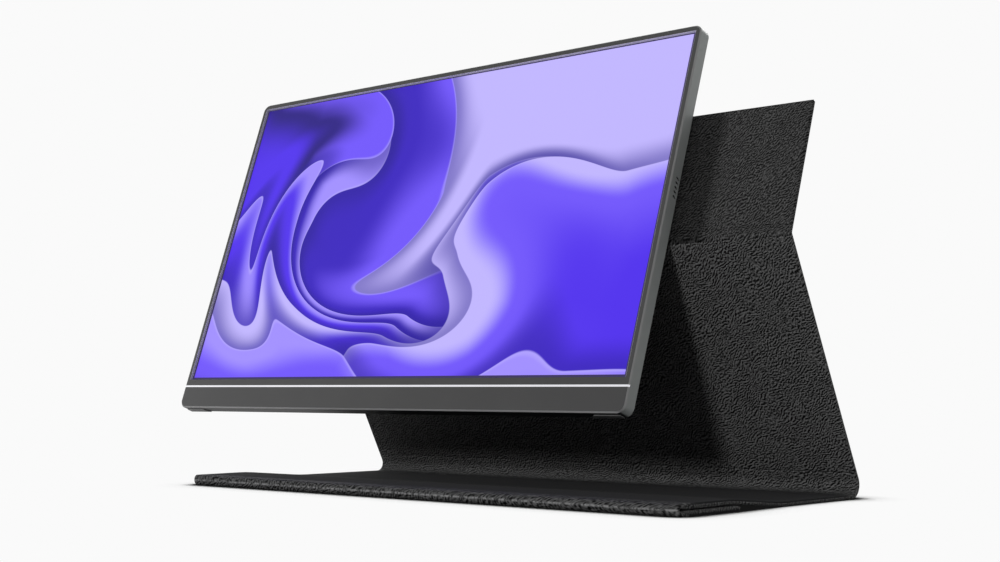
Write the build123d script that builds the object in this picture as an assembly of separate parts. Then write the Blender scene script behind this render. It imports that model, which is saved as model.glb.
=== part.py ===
from build123d import *
import os
from math import cos, radians, sin, tan

# Portable monitor leaning on its folding cover. Millimetres, +Z up, the screen faces -Y.
# The origin is on the table, under the middle of the whole object.

# ---- driving dimensions: monitor ----
ACTIVE_W = 344.2  # lit area of a 15.6-inch 16:9 panel
ACTIVE_H = 193.6
SIDE_BORDER = 5.15  # from the lit area to the outside
TOP_BORDER = 4.5
BOTTOM_BORDER = 20.8
MON_T = 8.8
CORNER_R = 5.0
WALL = 1.4
INNER_CORNER_R = 2.4
BACK_WALL = 1.0
BEZEL_T = 1.4
EDGE_CHAMFER = 0.75
BACK_CHAMFER = 1.0
CHIN_H = 13.8  # dark cover under the bright strip
CHIN_STRIP_H = 1.15
OPENING_BOTTOM = 19.0  # lower edge of the screen opening
FRAME_SIDE = 3.2  # from the outside to the screen opening
FRAME_TOP = 3.4
TRIM_LAND = 0.1  # the bright trim's front edge
TRIM_SLOPE = 0.3  # and how far its inner wall leans in

# ---- driving dimensions: cover ----
COVER_W = 342.1
COVER_CORNER_R = 5.0  # rounded ends of the front edge, seen from above
SIDE_OFFSET = 76.3  # the cover's middle stands this far right of the monitor's
BASE_D = 166.8  # front edge to the corner where the outer faces would meet
LOWER_L = 148.4  # that corner to the crease, along the outer face
UPPER_L = 71.4  # crease to the top edge
LOWER_LEAN = 27.3  # degrees forward of upright
SCREEN_LEAN = 19.5  # degrees back of upright: upper panel and monitor
HANG = 96.0  # the monitor's bottom edge hangs this far below the crease
SEAT_GAP = 0.15
SKIN = 0.75
BOARD = 0.9
LINING = 0.65
HEM = 1.2  # skin turned up round the boards
LEADER = 4.0  # flat part of a fold strip beside each panel
FOLD_IN_R = 0.6  # front fold, on the side that closes
SPINE_R = 7.15  # rear fold, outside
CREASE_R = 0.6  # crease, on the side that closes
LIP_END = 50.0  # free edge of the lip, from the front edge
SLOPE_FRONT = 42.0  # from here the base slopes down over the lip's end to the table
SLOPE_REAR = 86.0
WAVE_R = 150.0

# ---- worked out from them ----
MON_W = ACTIVE_W + 2 * SIDE_BORDER
MON_H = ACTIVE_H + TOP_BORDER + BOTTOM_BORDER
PANEL = SKIN + BOARD + LINING
RAISE = PANEL + 2 * FOLD_IN_R
FOLD_R = FOLD_IN_R + PANEL
LOWER_HEADING = 90 + LOWER_LEAN  # direction along a panel, in degrees from +Y towards +Z
UPPER_HEADING = 90 - SCREEN_LEAN
REAR_TANGENT = BASE_D - SPINE_R / tan(radians((180 - LOWER_HEADING) / 2))
X_MIDDLE = (SIDE_OFFSET + COVER_W / 2 - MON_W / 2) / 2
Y_MIDDLE = (REAR_TANGENT + SPINE_R) / 2
MONITOR_X = -X_MIDDLE
COVER_X = SIDE_OFFSET - X_MIDDLE
PROFILE = Plane(origin=(0, -Y_MIDDLE, 0), x_dir=(0, 1, 0), z_dir=(1, 0, 0))


def heading(angle):
    """Unit vector in the cover's side profile: first along the table, then up."""
    return Vector(cos(radians(angle)), sin(radians(angle)))


def turning_point(start, start_heading, end, end_heading, flat_length):
    """Point about which a fold turns from its rest to flat: the strip's end comes to lie
    flat_length beyond its start."""
    flat_end = start + heading(start_heading) * flat_length
    turn = radians(start_heading - end_heading)
    chord = flat_end - end
    left = Vector(-chord.Y, chord.X)
    return (flat_end + end) * 0.5 + left * (0.5 / tan(turn / 2))


# Corner points of the cover's profile, on its outer face.
SPINE_CENTRE = Vector(REAR_TANGENT, SPINE_R)
LOWER_START = SPINE_CENTRE + heading(LOWER_LEAN) * SPINE_R
CREASE = Vector(BASE_D, 0) + heading(LOWER_HEADING) * LOWER_L
CREASE_TANGENT = CREASE_R * tan(radians((LOWER_HEADING - UPPER_HEADING) / 2))
CREASE_START = CREASE - heading(LOWER_HEADING) * CREASE_TANGENT
CREASE_END = CREASE + heading(UPPER_HEADING) * CREASE_TANGENT
CREASE_CENTRE = CREASE_START + heading(LOWER_HEADING - 90) * CREASE_R
FRONT_CENTRE = Vector(FOLD_R, FOLD_R)
LOWER_RUN = (CREASE_START - LOWER_START).length
UPPER_RUN = UPPER_L - CREASE_TANGENT

# The monitor's back lies on the upper panel's inner face.
LOWER_NORMAL = heading(LOWER_HEADING + 90)
UPPER_NORMAL = heading(UPPER_HEADING + 90)
RIDGE = CREASE + (LOWER_NORMAL + UPPER_NORMAL) * (PANEL / (1 + LOWER_NORMAL.dot(UPPER_NORMAL)))
MON_FOOT = RIDGE - heading(UPPER_HEADING) * HANG + UPPER_NORMAL * (SEAT_GAP + MON_T)
# In the screen's own plane x is right, y is up along the glass and z is out of it.
SCREEN = Plane(
    origin=(MONITOR_X, MON_FOOT.X - Y_MIDDLE, MON_FOOT.Y),
    x_dir=(1, 0, 0),
    z_dir=(0, -cos(radians(SCREEN_LEAN)), sin(radians(SCREEN_LEAN))),
)


def across(face, inset=0.0):
    """A profile face drawn out over the cover's width, less an inset at each end."""
    width = COVER_W - 2 * inset
    return Pos(COVER_X - width / 2, 0, 0) * extrude(PROFILE * face, width)


def run_face(start, angle, s0, s1, h0, h1):
    """Rectangle of the profile from s0 to s1 along a panel and h0 to h1 above its outer face."""
    along, up = heading(angle), heading(angle + 90)
    corners = [start + along * s + up * h for s, h in ((s0, h0), (s1, h0), (s1, h1), (s0, h1))]
    return make_face(Polyline(*corners, close=True).edges())


def bend_face(centre, r_in, r_out, a0, a1):
    """Part of a ring in the profile."""
    inner = CenterArc(centre, r_in, a0, a1 - a0)
    outer = CenterArc(centre, r_out, a0, a1 - a0)
    ends = [Line(inner @ 0, outer @ 0), Line(inner @ 1, outer @ 1)]
    return make_face((Curve() + [inner, outer] + ends).edges())


def base_face(h0, h1, start=FOLD_R + LEADER, end=REAR_TANGENT - LEADER):
    """Layer of the base: flat over the lip, a slope, then flat on the table."""

    def line(h):
        points = [(start, RAISE + h), (SLOPE_FRONT, RAISE + h), (SLOPE_REAR, h), (end, h)]
        return FilletPolyline(*points, radius=WAVE_R)

    low, high = line(h0), line(h1)
    ends = [Line(low @ 0, high @ 0), Line(low @ 1, high @ 1)]
    return make_face((Curve() + [low, high] + ends).edges())


def three_layers(layer, pocket):
    """Outer skin with turned-up hems, board and lining of one panel. layer(h0, h1) is a whole
    layer's face, pocket(h0, h1) the part of it inside the hems."""
    skin = across(layer(0, PANEL)) - across(pocket(SKIN, PANEL), HEM)
    board = across(pocket(SKIN, SKIN + BOARD), HEM)
    lining = across(pocket(SKIN + BOARD, PANEL), HEM)
    return skin, board, lining


# ---- cover ----


def lip():
    """Front flap, folded flat under the base with its lining down."""
    free_end = Vector(LIP_END, PANEL)
    length = LIP_END - FOLD_R - LEADER
    return three_layers(
        lambda h0, h1: run_face(free_end, 180, 0, length, h0, h1),
        lambda h0, h1: run_face(free_end, 180, HEM, length, h0, h1),
    )


def base():
    return three_layers(base_face, base_face)


def lower_back():
    def layer(h0, h1):
        return run_face(LOWER_START, LOWER_HEADING, LEADER, LOWER_RUN - LEADER, h0, h1)

    return three_layers(layer, layer)


MAGNET_L = 30.0
MAGNET_H = 12.0
MAGNET_PITCH = 55.0
MAGNETS = 6


def upper_back():
    """Upper panel, whose board has windows for the magnets."""

    def part(end):
        return lambda h0, h1: run_face(CREASE_END, UPPER_HEADING, LEADER, end, h0, h1)

    skin, board, lining = three_layers(part(UPPER_RUN), part(UPPER_RUN - HEM))
    magnets = Compound(children=list(cover_magnets()))
    return skin, board - magnets, lining, magnets


def cover_magnets():
    """Flat magnets in a row across the upper board."""
    middle = UPPER_RUN / 2
    face = run_face(
        CREASE_END,
        UPPER_HEADING,
        middle - MAGNET_H / 2,
        middle + MAGNET_H / 2,
        SKIN,
        SKIN + BOARD,
    )
    bar = extrude(PROFILE * face, MAGNET_L)
    first = COVER_X - MAGNET_PITCH * (MAGNETS - 1) / 2 - MAGNET_L / 2
    for i in range(MAGNETS):
        yield (Pos(first + i * MAGNET_PITCH, 0, 0) * bar).solid()


def front_fold():
    """Strip round the front edge, its two ends rounded as seen from above."""
    lip_leader = run_face(Vector(FOLD_R + LEADER, PANEL), 180, 0, LEADER, 0, PANEL)
    base_leader = run_face(Vector(FOLD_R, RAISE), 0, 0, LEADER, 0, PANEL)
    strip = across(bend_face(FRONT_CENTRE, FOLD_IN_R, FOLD_R, 90, 270) + lip_leader + base_leader)
    depth = 4 * COVER_CORNER_R
    outline = RectangleRounded(COVER_W, depth, COVER_CORNER_R)
    return strip & extrude(Pos(COVER_X, depth / 2 - Y_MIDDLE, 0) * outline, 2 * RAISE, both=True)


def spine_fold():
    base_leader = run_face(Vector(REAR_TANGENT, 0), 0, -LEADER, 0, 0, PANEL)
    lower_leader = run_face(LOWER_START, LOWER_HEADING, 0, LEADER, 0, PANEL)
    bend = bend_face(SPINE_CENTRE, SPINE_R - PANEL, SPINE_R, -90, LOWER_LEAN)
    return across(bend + base_leader + lower_leader)


def crease_fold():
    lower_leader = run_face(CREASE_START, LOWER_HEADING, -LEADER, 0, 0, PANEL)
    upper_leader = run_face(CREASE_END, UPPER_HEADING, 0, LEADER, 0, PANEL)
    low, high = UPPER_HEADING + 90, LOWER_HEADING + 90
    bend = bend_face(CREASE_CENTRE, CREASE_R, CREASE_R + PANEL, low, high)
    return across(bend + lower_leader + upper_leader)


# ---- monitor, in the screen's own plane ----

HALF_W = MON_W / 2
INNER_W = HALF_W - WALL
BACK_IN = -MON_T + BACK_WALL  # inner face of the back wall
SOCKET_Z = -5.7  # middle of the sockets and keys

# Layers of the display and its boards: back and front of each.
LCD = (-2.2, -BEZEL_T)
FILMS = (-2.45, -2.2)
GUIDE = (-3.15, -2.45)
REFLECTOR = (-3.3, -3.15)
TRAY = (-3.6, -3.3)
DRIVER_PCB = (-3.15, -2.35)
DRIVER_CHIPS = (-4.05, -3.15)
INSULATOR = (-3.75, -3.65)
PCB = (-7.2, -6.4)
TRAY_TOP = LCD[0] - 0.05  # just short of the glass

PCB_LEFT = -175.2
PCB_RIGHT = -72.0
PCB_BOTTOM = 24.0
PCB_TOP = 98.0
BOARD_SCREWS = ((-150, 30), (-78, 30), (-150, 92), (-78, 92))
BOSS_R = 2.4
SCREW_R = 0.8
SCREW_HOLE_R = 0.85
SCREW_DEPTH = 1.7
RIB_W = 0.8
RIB_H = 1.6
UPPER_RIB_ROWS = (166.0, 190.0)
UPPER_RIB_COLUMNS = (-120.0, -60.0, 0.0, 60.0, 120.0)
LOWER_RIB_COLUMNS = (-30.0, 30.0, 90.0, 150.0)
JACK_Y = 32.0
HDMI_Y = 48.0
USB_YS = (66.0, 84.0)
JACK_R = 1.75
JACK_L = 12.4
JACK_NOSE_R = 2.65
JACK_HOLE_R = 2.7
HDMI_HOLE = (11.6, 3.6, 0.6)  # long side, height, corner radius
USB_HOLE = (9.5, 3.7)
KEYS = {"down_key": (156.0, 8.0), "up_key": (168.0, 8.0), "power_key": (182.0, 11.0)}
KEY_H = 2.4
KEY_GAP = 0.15
KEY_EDGE = 0.25
KEY_PROUD = 0.5
KEY_TRAVEL = 0.4
KEY_PCB_X = (-172.6, -171.8)
KEY_PCB_Y = (148.0, 190.0)
KEY_PCB_Z = (-7.7, -4.2)
SLOTS = 5
SLOT_FIRST_Y = 119.8
SLOT_PITCH = 2.6
SLOT_L = 2.8
SLOT_W = 1.0
SLOT_SLANT = 20.0
SLOT_RISE = 0.3  # the slots' middle, in front of the sockets'


def slab(x0, x1, y0, y1, z0, z1):
    middle = Pos((x0 + x1) / 2, (y0 + y1) / 2, (z0 + z1) / 2)
    return middle * Box(abs(x1 - x0), abs(y1 - y0), abs(z1 - z0))


def plate(inset, z0, z1, radius):
    """Rounded plate of the monitor's outline, less an inset."""
    outline = RectangleRounded(MON_W - 2 * inset, MON_H - 2 * inset, radius)
    return Pos(0, MON_H / 2, z0) * extrude(outline, z1 - z0)


def side_hole(width, height, y, depth, radius=None):
    """Rounded plug along X through the left wall, its long side up the screen."""
    radius = height / 2 - 0.01 if radius is None else radius
    outline = Plane.YZ * RectangleRounded(width, height, radius)
    return Pos(-HALF_W, y, SOCKET_Z) * extrude(outline, depth, both=True)


def speaker_slots(side):
    """Row of slanted slots through one side wall."""
    for i in range(SLOTS):
        outline = Plane.YZ * (Rot(0, 0, 90 - SLOT_SLANT) * SlotOverall(SLOT_L, SLOT_W))
        hole = extrude(outline, 2 * WALL, both=True)
        yield Pos(side * HALF_W, SLOT_FIRST_Y + i * SLOT_PITCH, SOCKET_Z + SLOT_RISE) * hole


def shell_ribs():
    """Low ribs on the back wall, and two posts that hold the key board."""
    foot, top = BACK_IN - 0.1, BACK_IN + RIB_H
    half = RIB_W / 2
    for y in UPPER_RIB_ROWS:
        yield slab(-158, 158, y, y + RIB_W, foot, top)
    for x in UPPER_RIB_COLUMNS:
        yield slab(x - half, x + half, 162, MON_H - WALL, foot, top)
    for x in LOWER_RIB_COLUMNS:
        yield slab(x - half, x + half, WALL, 94, foot, top)
    for y in KEY_PCB_Y:
        yield slab(KEY_PCB_X[1] + 0.1, KEY_PCB_X[1] + 1.1, y - 2, y + 2, foot, top)


def rear_shell():
    """Metal tub: back, side walls, ribs, screw bosses and every opening in the sides."""
    body = plate(0, -MON_T, -BEZEL_T, CORNER_R)
    body = chamfer(body.edges().group_by(Axis.Z)[0], BACK_CHAMFER)
    body -= plate(WALL, BACK_IN, 0, INNER_CORNER_R)
    for rib in shell_ribs():
        body += rib
    boss_h = PCB[0] - BACK_IN
    for x, y in BOARD_SCREWS:
        body += Pos(x, y, BACK_IN + boss_h / 2) * Cylinder(BOSS_R, boss_h)
        body -= Pos(x, y, BACK_IN) * Cylinder(SCREW_HOLE_R, 2 * boss_h)
    body -= Pos(-HALF_W, JACK_Y, SOCKET_Z) * Rot(0, 90, 0) * Cylinder(JACK_HOLE_R, 4 * WALL)
    width, height, radius = HDMI_HOLE
    body -= side_hole(width, height, HDMI_Y, 2 * WALL, radius)
    for y in USB_YS:
        body -= side_hole(*USB_HOLE, y, 2 * WALL)
    for y, length in KEYS.values():
        body -= side_hole(length + 2 * KEY_GAP, KEY_H + 2 * KEY_GAP, y, 2 * WALL)
    for side in (-1, 1):
        for slot in speaker_slots(side):
            body -= slot
    return body


def front_plate():
    """Whole front: bezel, strip and chin before they are cut apart."""
    whole = plate(0, -BEZEL_T, 0, CORNER_R)
    return chamfer(whole.edges().group_by(Axis.Z)[-1], EDGE_CHAMFER)


TRIM_X = HALF_W - FRAME_SIDE
TRIM_TOP = MON_H - FRAME_TOP
BEZEL_BOTTOM = CHIN_H + CHIN_STRIP_H


def front_bezel():
    frame = front_plate() & slab(-HALF_W, HALF_W, BEZEL_BOTTOM, MON_H, -BEZEL_T, 0)
    return frame - slab(-TRIM_X, TRIM_X, OPENING_BOTTOM, TRIM_TOP, -2, 1)


def chin_strip():
    return front_plate() & slab(-HALF_W, HALF_W, CHIN_H, BEZEL_BOTTOM, -BEZEL_T, 0)


def chin_cover():
    return front_plate() & slab(-HALF_W, HALF_W, 0, CHIN_H, -BEZEL_T, 0)


def screen_trim():
    """Bright inner wall on three sides of the opening; the bezel's lower edge has none."""
    solid = slab(-TRIM_X, TRIM_X, OPENING_BOTTOM, TRIM_TOP, -BEZEL_T, 0)
    below = 5.0  # the opening's outline is drawn out past the wall's lower ends

    def mouth(inset, z):
        height = TRIM_TOP - inset - OPENING_BOTTOM + below
        outline = Rectangle(2 * (TRIM_X - inset), height)
        return Pos(0, OPENING_BOTTOM - below + height / 2, z) * outline

    rims = [mouth(TRIM_LAND, 0), mouth(TRIM_LAND + TRIM_SLOPE, -BEZEL_T)]
    return solid - loft(rims, ruled=True)


# Outlines of the display's layers: left, right, bottom and top.
LCD_AREA = (-175.2, 175.2, 15.4, 216.6)
FILM_AREA = (-173.9, 173.9, 20.3, 215.4)
GUIDE_AREA = (-173.6, 173.6, 20.3, 215.2)
REFLECTOR_AREA = (-174.0, 174.0, 18.2, 215.4)
TRAY_AREA = (-174.9, 174.9, 17.8, 216.2)
TRAY_SHEET = 0.3
LED_BAR_Y = (18.2, 19.0)
LEDS = 32
LED_SPAN = 340.0
LED_W = 3.6
LED_TOP_Y = 20.2
DRIVER_AREA = (-130, 130, 3, 12)
DRIVER_CHIP_XS = (-60, 0, 60)
DRIVER_FILM_XS = (-96, -32, 32, 96)
DRIVER_FILM_W = 24.0
CABLE_X = (-112, -92)
CABLE_T = 0.2


def lcd_panel():
    return slab(*LCD_AREA, *LCD)


def optical_films():
    return slab(*FILM_AREA, *FILMS)


def light_guide():
    return slab(*GUIDE_AREA, *GUIDE)


def led_bar():
    """Row of lamps that shine up into the light guide's lower edge."""
    bar = slab(-172, 172, *LED_BAR_Y, GUIDE[0], TRAY_TOP)
    pitch = LED_SPAN / LEDS
    for i in range(LEDS):
        x = (i - (LEDS - 1) / 2) * pitch
        bar += slab(x - LED_W / 2, x + LED_W / 2, LED_BAR_Y[1], LED_TOP_Y, *GUIDE)
    return bar


def reflector_sheet():
    return slab(*REFLECTOR_AREA, *REFLECTOR)


def backlight_tray():
    """Steel sheet with folded-up sides that holds the light guide."""
    left, right, bottom, top = TRAY_AREA
    outer = slab(left, right, bottom, top, TRAY[0], TRAY_TOP)
    return outer - slab(left + TRAY_SHEET, right - TRAY_SHEET, bottom - 1, top - TRAY_SHEET, TRAY[1], 0)


def driver_board():
    board = slab(*DRIVER_AREA, *DRIVER_PCB)
    for x in DRIVER_CHIP_XS:
        board += slab(x - 4, x + 4, 4.5, 9.5, *DRIVER_CHIPS)
    return board


def driver_films():
    """Short films that join the driver board to the glass."""
    half = DRIVER_FILM_W / 2
    tabs = [slab(x - half, x + half, 9.5, 17.6, DRIVER_PCB[1], LCD[0]) for x in DRIVER_FILM_XS]
    return Compound(children=[tab.solid() for tab in tabs])


def display_cable():
    """Flat cable, from the driver board down and across to the main board."""
    drop = slab(*CABLE_X, 7.0, 7.0 + CABLE_T, PCB[1], DRIVER_PCB[0])
    return drop + slab(*CABLE_X, 7.0, 30, PCB[1], PCB[1] + CABLE_T)


def main_board():
    board = slab(PCB_LEFT, PCB_RIGHT, PCB_BOTTOM, PCB_TOP, *PCB)
    board -= slab(-180, -162.8, JACK_Y - 3.2, JACK_Y + 3.2, -8, 0)
    board -= slab(-180, -167.3, HDMI_Y - 5.9, HDMI_Y + 5.9, -8, 0)
    for y in USB_YS:
        board -= slab(-180, -167.3, y - 4.7, y + 4.7, -8, 0)
    for x, y in BOARD_SCREWS:
        board -= Pos(x, y, PCB[0]) * Cylinder(1.0, 3)
    chips = ((-118, 66, 14, 14, 1.2), (-140, 50, 8, 6, 1.0), (-96, 80, 7, 7, 1.8), (-84, 50, 9, 5, 1.0))
    for x, y, width, height, rise in chips:
        board += slab(x - width / 2, x + width / 2, y - height / 2, y + height / 2, PCB[1], PCB[1] + rise)
    return board


def insulating_sheet():
    return slab(-174, -70, 22, 100, *INSULATOR)


def board_screws():
    """Small screws that hold the main board on its bosses."""
    screws = []
    for x, y in BOARD_SCREWS:
        head = Pos(x, y, PCB[1] + 0.25) * Cylinder(1.5, 0.5)
        shank = Pos(x, y, PCB[1] - SCREW_DEPTH / 2) * Cylinder(SCREW_R, SCREW_DEPTH)
        screws.append((head + shank).solid())
    return Compound(children=screws)


def audio_jack():
    """Socket body with a round nose that fills the hole in the wall."""
    back = -HALF_W + JACK_L + 0.6
    body = slab(-INNER_W + 0.05, back, JACK_Y - 3, JACK_Y + 3, SOCKET_Z - 2, SOCKET_Z + 1.9)
    nose = Pos(-HALF_W + 1, JACK_Y, SOCKET_Z) * Rot(0, 90, 0) * Cylinder(JACK_NOSE_R, 2)
    nose &= slab(-HALF_W, -INNER_W + 0.05, JACK_Y - 3, JACK_Y + 3, -9, -2)
    bore = Pos(-HALF_W + JACK_L / 2, JACK_Y, SOCKET_Z) * Rot(0, 90, 0) * Cylinder(JACK_R, JACK_L)
    return body + nose - bore


def hdmi_socket():
    """Small metal socket: a sleeve with bevelled lower corners and a tongue inside."""
    half_w, half_h, bevel = 5.6, 1.65, 1.0

    def outline(shrink):
        w, h = half_w - shrink, half_h - shrink
        points = [(-w, h), (w, h), (w, -h + bevel), (w - bevel, -h), (-w + bevel, -h), (-w, -h + bevel)]
        return Plane.YZ * make_face(Polyline(*points, close=True).edges())

    sleeve = extrude(outline(0), 9.2) - extrude(outline(0.35), 7.5)
    tongue = Pos(4.5, 0, 0.2) * Box(6.4, 8.6, 0.7)
    return Pos(-HALF_W + 0.3, HDMI_Y, SOCKET_Z) * (sleeve + tongue)


def usb_c_sockets():
    """Two oval metal sockets, each with its tongue."""
    sockets = []
    for y in USB_YS:
        sleeve = extrude(Plane.YZ * SlotOverall(8.94, 3.16), 9.2)
        sleeve -= extrude(Plane.YZ * SlotOverall(8.34, 2.56), 7.4)
        tongue = Pos(4.6, 0, 0) * Box(6.2, 6.7, 0.7)
        sockets.append((Pos(-HALF_W + 0.3, y, SOCKET_Z) * (sleeve + tongue)).solid())
    return Compound(children=sockets)


def key(name):
    """Side key: cap through the wall, a flange that keeps it in, and a stem to its switch."""
    y, length = KEYS[name]
    flange_x = -INNER_W + 0.1
    cap = Plane.YZ * RectangleRounded(length, KEY_H, KEY_H / 2 - 0.01)
    cap = extrude(cap, KEY_PROUD + WALL + 0.15)
    cap = chamfer(cap.edges().group_by(Axis.X)[0], KEY_EDGE)
    flange = slab(0, 0.5, -length / 2 - 1, length / 2 + 1, -1.6, 1.6)
    stem = slab(0.4, 1.35, -1, 1, -1, 1)
    body = Pos(-HALF_W - KEY_PROUD, y, SOCKET_Z) * cap
    return body + Pos(flange_x, y, SOCKET_Z) * (flange + stem)


def key_board():
    """Narrow board behind the keys, with one switch for each."""
    board = slab(*KEY_PCB_X, *KEY_PCB_Y, *KEY_PCB_Z)
    left = KEY_PCB_X[0]
    for y, _ in KEYS.values():
        board += slab(left - 1.15, left, y - 1.5, y + 1.5, SOCKET_Z - 1.5, SOCKET_Z + 1.5)
    return board


def speaker(side):
    """Flat speaker box behind the slots, with an oval cone in its inner face."""
    box = Box(12, 32, 3.2)
    box = fillet(box.edges().filter_by(Axis.Z), 1.5)
    box -= Pos(0, 0, 1.6) * extrude(Rot(0, 0, 90) * SlotOverall(24, 8), 0.5, both=True)
    return Pos(side * (INNER_W - 6.1), 125, BACK_IN + 1.6) * box


def catch_plate():
    """Steel plate on the back wall, for the cover's magnets to hold."""
    plate_z = BACK_IN + 0.5
    return fillet(slab(-118, 118, 101, 158, BACK_IN, plate_z).edges().filter_by(Axis.Z), 4)


FOOT_INNER = HALF_W - 24.5
FOOT_OUTER = HALF_W - 4.5
FOOT_SLANT = 3.5
FOOT_Z = (-7.6, -3.6)
FOOT_PROUD = 0.45


def foot_strips():
    """Low pads under the bottom edge, their inner ends cut at a slant."""
    back, front = FOOT_Z
    pads = []
    for side in (-1, 1):
        corners = [
            (side * FOOT_INNER, back),
            (side * FOOT_OUTER, back),
            (side * FOOT_OUTER, front),
            (side * (FOOT_INNER + FOOT_SLANT), front),
        ]
        outline = Plane.XZ * make_face(Polyline(*corners, close=True).edges())
        pads.append(extrude(outline, FOOT_PROUD, dir=(0, -1, 0)).solid())
    return Compound(children=pads)


# ---- all nodes ----


def monitor_nodes():
    nodes = {
        "rear_shell": rear_shell(),
        "front_bezel": front_bezel(),
        "screen_trim": screen_trim(),
        "chin_strip": chin_strip(),
        "chin_cover": chin_cover(),
        "lcd_panel": lcd_panel(),
        "optical_films": optical_films(),
        "light_guide": light_guide(),
        "led_bar": led_bar(),
        "reflector_sheet": reflector_sheet(),
        "backlight_tray": backlight_tray(),
        "driver_board": driver_board(),
        "driver_films": driver_films(),
        "display_cable": display_cable(),
        "main_board": main_board(),
        "insulating_sheet": insulating_sheet(),
        "board_screws": board_screws(),
        "audio_jack": audio_jack(),
        "hdmi_socket": hdmi_socket(),
        "usb_c_sockets": usb_c_sockets(),
        "key_board": key_board(),
        "speaker_left": speaker(-1),
        "speaker_right": speaker(1),
        "catch_plate": catch_plate(),
        "foot_strips": foot_strips(),
    }
    for name in KEYS:
        nodes[name] = key(name)
    return {name: SCREEN.location * shape for name, shape in nodes.items()}


def cover_nodes():
    nodes = {}
    nodes["lip_skin"], nodes["lip_board"], nodes["lip_lining"] = lip()
    nodes["base_skin"], nodes["base_board"], nodes["base_lining"] = base()
    nodes["lower_outer_skin"], nodes["lower_board"], nodes["lower_inner_skin"] = lower_back()
    skin, board, lining, magnets = upper_back()
    nodes["upper_outer_skin"], nodes["upper_board"], nodes["upper_inner_skin"] = skin, board, lining
    nodes["cover_magnets"] = magnets
    nodes["front_fold_strip"] = front_fold()
    nodes["spine_fold_strip"] = spine_fold()
    nodes["crease_strip"] = crease_fold()
    return nodes


def report_axes():
    """Print where each fold turns, on the middle layer of its strip, and the main places."""
    half = PANEL / 2
    spine_turn = radians(LOWER_HEADING)
    crease_turn = radians(LOWER_HEADING - UPPER_HEADING)
    folds = {
        "lip_fold": turning_point(
            Vector(FOLD_R, RAISE + half), 180, Vector(FOLD_R, half), 0, radians(180) * (FOLD_IN_R + half)
        ),
        "spine_fold": turning_point(
            Vector(REAR_TANGENT, half),
            0,
            LOWER_START + LOWER_NORMAL * half,
            LOWER_HEADING,
            spine_turn * (SPINE_R - half),
        ),
        "back_crease": turning_point(
            CREASE_START + LOWER_NORMAL * half,
            LOWER_HEADING,
            CREASE_END + UPPER_NORMAL * half,
            UPPER_HEADING,
            crease_turn * (CREASE_R + half),
        ),
    }
    for name, point in folds.items():
        print(name, "y", round(point.X - Y_MIDDLE, 3), "z", round(point.Y, 3))
    print("monitor", MON_W, MON_H, "x", round(MONITOR_X, 3), "foot", SCREEN.origin)
    print("cover x", round(COVER_X, 3), "middle y", round(Y_MIDDLE, 3), "ridge", RIDGE)
    jack = SCREEN.location * Pos(-HALF_W + JACK_L / 2, JACK_Y, SOCKET_Z)
    print("jack", jack.position, "flat lengths", round(LOWER_RUN, 2), round(UPPER_RUN, 2))


def main():
    os.makedirs("parts", exist_ok=True)
    for name, shape in {**cover_nodes(), **monitor_nodes()}.items():
        export_step(shape, f"parts/{name}.step")
    report_axes()


main()
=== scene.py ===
import math

import bmesh
import bpy
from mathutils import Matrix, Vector, noise


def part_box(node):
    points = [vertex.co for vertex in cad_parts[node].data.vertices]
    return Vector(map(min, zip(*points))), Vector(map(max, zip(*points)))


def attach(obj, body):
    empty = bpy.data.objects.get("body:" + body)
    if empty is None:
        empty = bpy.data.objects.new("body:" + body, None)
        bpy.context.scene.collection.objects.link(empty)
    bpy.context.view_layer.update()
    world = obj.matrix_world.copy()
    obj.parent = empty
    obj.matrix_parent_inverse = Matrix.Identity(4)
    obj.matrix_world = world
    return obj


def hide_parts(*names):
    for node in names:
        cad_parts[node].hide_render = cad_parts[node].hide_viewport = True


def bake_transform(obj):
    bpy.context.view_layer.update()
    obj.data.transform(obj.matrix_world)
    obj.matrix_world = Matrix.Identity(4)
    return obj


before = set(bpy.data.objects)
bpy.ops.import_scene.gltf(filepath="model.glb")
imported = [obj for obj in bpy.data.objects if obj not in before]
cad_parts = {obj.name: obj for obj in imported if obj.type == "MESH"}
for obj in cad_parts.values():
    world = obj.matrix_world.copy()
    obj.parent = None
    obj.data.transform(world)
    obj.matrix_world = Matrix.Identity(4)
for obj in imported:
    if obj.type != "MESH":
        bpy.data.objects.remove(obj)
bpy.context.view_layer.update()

# ---- sizes, in metres ----
MM = 0.001
SCREEN_LEAN = math.radians(19.5)
LOWER_LEAN = math.radians(27.3)
PANEL = 2.3 * MM  # whole thickness of a cover panel
SKIN = 0.75 * MM
FACING = 0.65 * MM  # inner skin or lining
HEM = 1.2 * MM
LEADER = 4.0 * MM  # flat part of a fold strip beside each panel
RIDGE_LEADER = 0.4 * MM  # the same below the back's ridge, where the leather's seam is hidden
FOLD_IN_R = 0.6 * MM
SPINE_R = 7.15 * MM
CREASE_R = 0.6 * MM
WAVE_R = 150.0 * MM
SLOPE_FRONT = 42.0 * MM  # from the front edge
SLOPE_REAR = 86.0 * MM
BASE_D = 166.8 * MM
LIP_END = 50.0 * MM
LOWER_L = 148.4 * MM
UPPER_L = 71.4 * MM
COVER_CORNER_R = 5.0 * MM  # ends of the front edge, seen from above
ACTIVE_W = 344.2 * MM
ACTIVE_H = 193.6 * MM
ACTIVE_BOTTOM = 20.8 * MM
LCD_BOTTOM = 15.4 * MM  # of the glass, up from the monitor's lower edge
LCD_FRONT = 1.4 * MM  # the glass behind the front face
LCD_BACK = 2.2 * MM

EDGE_R = 0.85 * MM  # leather turned round a panel's outer edge
BRIM_R = 0.5 * MM  # edge of an inner facing
SEAM_GAP = 0.08 * MM
TIP_R = 3.1 * MM  # the folded front's left end is round, seen from the front
TIP_L = 50.0 * MM  # and how far back along the sheet that goes
PUFF = 0.35 * MM  # how far the lip and the base swell towards each other

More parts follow.
